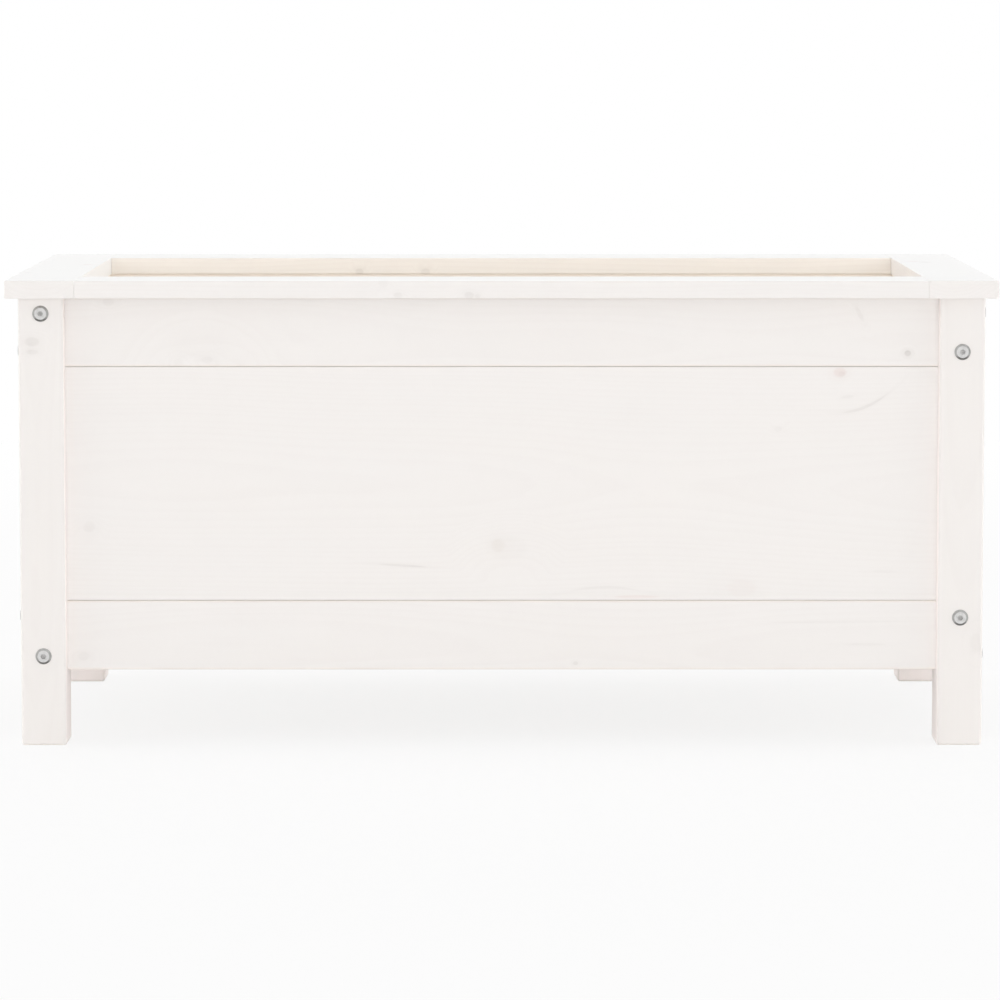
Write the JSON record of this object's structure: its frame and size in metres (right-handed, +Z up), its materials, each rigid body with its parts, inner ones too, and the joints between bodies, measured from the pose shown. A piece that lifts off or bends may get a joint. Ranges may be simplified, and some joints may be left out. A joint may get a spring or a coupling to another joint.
{
  "type": "planter trough",
  "caption": "Rectangular timber planter trough: framed and panelled walls bolted to square legs, a flat overhanging rim, and a slatted floor that drains.",
  "frame": {"origin": "on the ground, under the middle of the trough", "axes": "+X along the width to the viewer's right, -Y out of the front, +Z up"},
  "size_m": [0.825, 0.39, 0.391],
  "materials": {
    "white_pine": "thin white stain over pine, matt, faint grain and knots",
    "inner_pine": "thin warm white stain over pine, matt",
    "dowel_beech": "bare beech",
    "zinc": "bright zinc plate"
  },
  "bodies": {
    "root": {"leg_front_left": "white_pine", "leg_front_right": "white_pine", "leg_back_right": "white_pine", "leg_back_left": "white_pine", "front_top_rail": "white_pine", "front_panel": "white_pine", "front_bottom_rail": "white_pine", "right_top_rail": "white_pine", "right_panel": "white_pine", "right_bottom_rail": "white_pine", "back_top_rail": "white_pine", "back_panel": "white_pine", "back_bottom_rail": "white_pine", "left_top_rail": "white_pine", "left_panel": "white_pine", "left_bottom_rail": "white_pine", "rim_front": "white_pine", "rim_right": "white_pine", "rim_back": "white_pine", "rim_left": "white_pine", "rim_batten_front": "inner_pine", "rim_batten_right": "inner_pine", "rim_batten_back": "inner_pine", "rim_batten_left": "inner_pine", "batten_front": "inner_pine", "batten_right": "inner_pine", "batten_back": "inner_pine", "batten_left": "inner_pine", "floor_slat_1": "inner_pine", "floor_slat_2": "inner_pine", "floor_slat_3": "inner_pine", "floor_slat_4": "inner_pine", "floor_slat_5": "inner_pine", "floor_slat_6": "inner_pine", "floor_slat_7": "inner_pine", "floor_slat_8": "inner_pine", "floor_slat_9": "inner_pine", "floor_slat_10": "inner_pine", "floor_slat_11": "inner_pine", "floor_slat_12": "inner_pine", "connector_bolts": "zinc", "barrel_nuts": "zinc", "rail_dowels": "dowel_beech", "rim_dowels": "dowel_beech", "rim_batten_screws": "zinc", "batten_screws": "zinc", "slat_screws": "zinc"}
  },
  "joints": []
}
